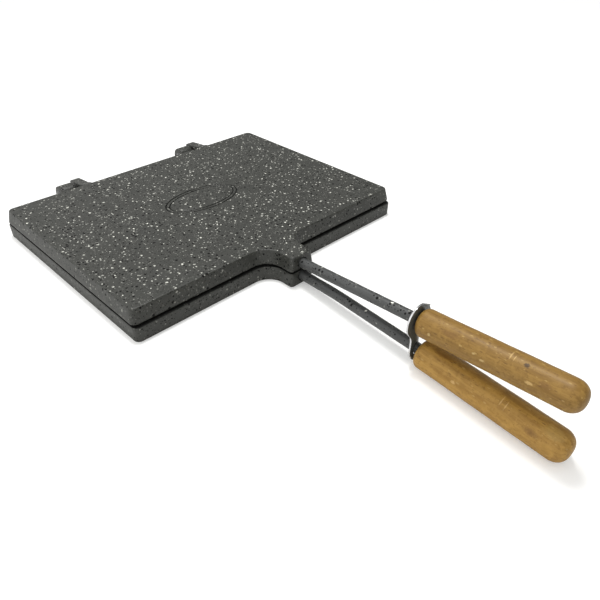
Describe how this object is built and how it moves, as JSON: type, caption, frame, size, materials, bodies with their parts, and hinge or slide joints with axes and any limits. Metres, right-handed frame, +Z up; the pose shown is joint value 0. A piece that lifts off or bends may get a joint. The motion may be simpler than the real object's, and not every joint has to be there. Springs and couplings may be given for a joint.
{
  "type": "pie iron",
  "caption": "Rectangular cast pie iron: two shallow plates hinged at the back, two rod handles with wooden grips, and a swinging latch that hooks one rod to the other.",
  "frame": {"origin": "middle of the flat underside of the lower plate", "axes": "X along the hinge, to the right seen from the handles; -Y from the plates to the handles; +Z up through both plates"},
  "size_m": [0.2538, 0.4435, 0.0555],
  "materials": {
    "plate_coating": "dark grey speckled non-stick coating, satin, over cast aluminium",
    "rod_coating": "the same speckled coating over steel rod",
    "pin_steel": "dulled steel",
    "grip_wood": "golden brown turned hardwood, thin satin varnish",
    "latch_chrome": "bright plated sheet steel"
  },
  "bodies": {
    "base": {"lower_plate": "plate_coating", "left_hinge_pin": "pin_steel", "right_hinge_pin": "pin_steel", "lower_rod": "rod_coating", "lower_grip": "grip_wood"},
    "lid": {"upper_plate": "plate_coating", "upper_rod": "rod_coating", "upper_grip": "grip_wood"},
    "latch": {"latch_plate": "latch_chrome"}
  },
  "joints": [
    {"name": "lid_hinge", "type": "hinge", "parent": "base", "child": "lid", "pos_m": [0, 0.111, 0.012], "axis": [-1, 0, 0], "range_deg": [0, 180]},
    {"name": "latch_swing", "type": "hinge", "parent": "lid", "child": "latch", "pos_m": [-0.003, -0.1182, 0.01701], "axis": [0, 0.9987, -0.0506], "range_deg": [0, 110]}
  ]
}
